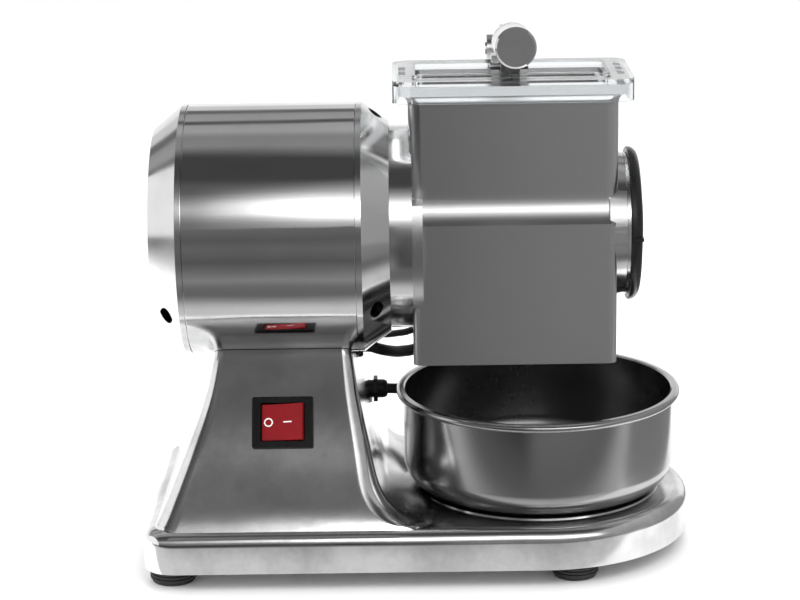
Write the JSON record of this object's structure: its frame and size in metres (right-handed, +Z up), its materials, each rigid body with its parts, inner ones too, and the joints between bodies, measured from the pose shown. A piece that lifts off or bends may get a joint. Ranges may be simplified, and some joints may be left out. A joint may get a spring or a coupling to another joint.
{
  "type": "electric cheese grater",
  "caption": "Counter-top electric grater: cast base and column, horizontal motor, grating housing with hopper, lever presser, end knob, steel bowl and mains lead.",
  "frame": {"origin": "middle of the base's plan, on the counter under the feet", "axes": "+Z up, +X from the motor to the grating end, the user stands at -Y"},
  "size_m": [0.3506, 0.3587, 0.3519],
  "materials": {
    "cast_aluminium": "polished",
    "satin_aluminium": "satin",
    "steel": "satin",
    "polished_steel": "mirror polished",
    "copper": "enamelled wire",
    "brass": "machined",
    "black_plastic": "moulded",
    "cream_plastic": "moulded",
    "red_plastic": "glossy",
    "clear_plastic": "clear",
    "rubber": "moulded"
  },
  "bodies": {
    "frame": {"base_casting": "cast_aluminium", "base_cover": "steel", "bearing_front": "steel", "bearing_rear": "steel", "cable_gland": "black_plastic", "capacitor": "satin_aluminium", "coil_tie": "black_plastic", "foot_back_left": "rubber", "foot_back_right": "rubber", "foot_front_left": "rubber", "foot_front_right": "rubber", "foot_screw_back_left": "steel", "foot_screw_back_right": "steel", "foot_screw_front_left": "steel", "foot_screw_front_right": "steel", "front_cap": "cast_aluminium", "grater_housing": "cast_aluminium", "hopper_guard": "clear_plastic", "lead_grommet_thick": "black_plastic", "lead_grommet_thin": "black_plastic", "lever_pin": "polished_steel", "mains_coil": "rubber", "mains_lead": "rubber", "mains_tail": "rubber", "motor_shell": "polished_steel", "neck_screw_lower": "polished_steel", "neck_screw_upper": "polished_steel", "plug": "black_plastic", "rear_cap": "cast_aluminium", "rear_disc": "cast_aluminium", "safety_switch": "black_plastic", "shaft_seal": "rubber", "stator_core": "steel", "switch_body": "black_plastic", "switch_lead_thick": "black_plastic", "switch_lead_thin": "black_plastic", "terminal_block": "cream_plastic", "winding_front": "copper", "winding_rear": "copper"},
    "spindle": {"motor_shaft": "steel", "rotor_core": "steel", "fan": "black_plastic", "grating_drum": "steel", "drum_hub_inner": "satin_aluminium", "drum_hub_outer": "satin_aluminium", "drum_nut": "steel"},
    "lever": {"lever_arm": "cast_aluminium", "grip": "polished_steel", "presser": "cast_aluminium", "presser_pin": "polished_steel"},
    "end_cover_body": {"end_cover": "cast_aluminium", "cover_bush": "brass"},
    "knob": {"cover_knob": "black_plastic"},
    "bowl_body": {"bowl": "steel"},
    "rocker_body": {"rocker": "red_plastic"}
  },
  "joints": [
    {"name": "drum_spin", "type": "hinge", "parent": "frame", "child": "spindle", "pos_m": [0, 0, 0.2115], "axis": [1, 0, 0], "continuous": true},
    {"name": "lever_swing", "type": "hinge", "parent": "frame", "child": "lever", "pos_m": [0.0592, 0.06, 0.3165], "axis": [-1, 0, 0], "range_deg": [0, 95]},
    {"name": "cover_pull", "type": "slide", "parent": "frame", "child": "end_cover_body", "axis": [1, 0, 0], "range_m": [0, 0.04]},
    {"name": "knob_turn", "type": "hinge", "parent": "end_cover_body", "child": "knob", "pos_m": [0.1335, 0, 0.2115], "axis": [1, 0, 0], "range_deg": [0, 60]},
    {"name": "bowl_slide", "type": "slide", "parent": "frame", "child": "bowl_body", "axis": [0, -1, 0], "range_m": [0, 0.12]},
    {"name": "rocker_tip", "type": "hinge", "parent": "frame", "child": "rocker_body", "pos_m": [-0.0866, -0.06209, 0.10005], "axis": [0, 0.4694, 0.883], "range_deg": [0, 22]}
  ]
}
